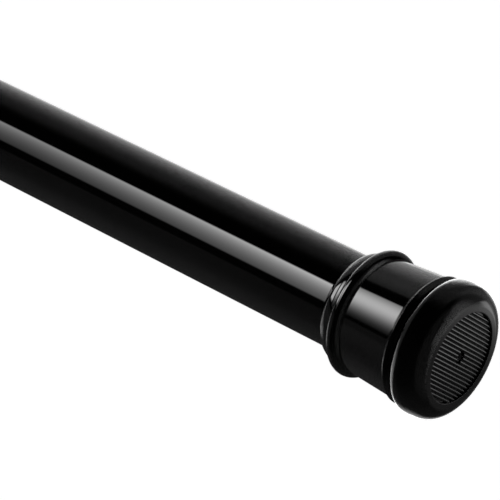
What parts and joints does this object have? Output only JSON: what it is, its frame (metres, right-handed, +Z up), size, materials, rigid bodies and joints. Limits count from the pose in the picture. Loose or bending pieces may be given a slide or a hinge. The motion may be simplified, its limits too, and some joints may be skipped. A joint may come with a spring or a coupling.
{
  "type": "telescopic door security bar",
  "caption": "Black telescopic tension bar with ribbed rubber feet: pressed across a sliding door's track or frame and twisted to lock its length.",
  "frame": {"origin": "centre of the outer foot's flat contact face", "axes": "+X along the bar's axis and out of the outer foot, +Z up, so the bar lies towards -X"},
  "size_m": [0.7, 0.0362, 0.0362],
  "materials": {
    "tube_enamel": "high-gloss black enamel on thin steel tube",
    "collar_plastic": "polished black moulding",
    "foot_rubber": "smooth soft black vinyl with a satin sheen",
    "bush_plastic": "satin black moulding",
    "nylon_natural": "natural nylon",
    "acetal_white": "white acetal",
    "cam_nylon": "natural nylon, slightly worn on its outside",
    "spindle_nylon": "grey glass-filled nylon",
    "zinc_steel": "bright zinc plate",
    "spring_steel": "drawn spring wire"
  },
  "bodies": {
    "outer_bar": {"outer_tube": "tube_enamel", "outer_collar": "collar_plastic", "outer_plug": "nylon_natural", "outer_foot": "foot_rubber", "mouth_bush": "bush_plastic"},
    "glide": {"glide_ring": "acetal_white"},
    "spindle": {"lock_spindle": "spindle_nylon", "cam_screw": "zinc_steel", "cam_washer": "zinc_steel", "front_spring_seat": "zinc_steel", "press_spring": "spring_steel", "stop_washer": "zinc_steel", "stop_nut": "zinc_steel"},
    "cam": {"lock_cam": "cam_nylon"},
    "inner_bar": {"inner_tube": "tube_enamel", "spindle_guide": "nylon_natural", "guide_pins": "zinc_steel", "rear_spring_seat": "zinc_steel", "inner_collar": "collar_plastic", "inner_plug": "nylon_natural", "inner_foot": "foot_rubber"}
  },
  "joints": [
    {"name": "telescope", "type": "slide", "parent": "outer_bar", "child": "glide", "axis": [-1, 0, 0], "range_m": [-0.057, 0.214]},
    {"name": "tube_twist", "type": "hinge", "parent": "glide", "child": "spindle", "pos_m": [-0.116, 0, 0], "axis": [1, 0, 0], "range_deg": [-28, 28]},
    {"name": "cam_turn", "type": "hinge", "parent": "spindle", "child": "cam", "pos_m": [-0.1035, 0, 0.0016], "axis": [1, 0, 0], "range_deg": [-28, 28]},
    {"name": "spring_travel", "type": "slide", "parent": "spindle", "child": "inner_bar", "axis": [1, 0, 0], "range_m": [0, 0.025], "stiffness_N_per_m": 3900, "springref_m": -0.012, "deforming": ["press_spring"]}
  ],
  "couplings": [
    {"joint": "cam_turn", "follows": "tube_twist", "ratio": -1}
  ]
}
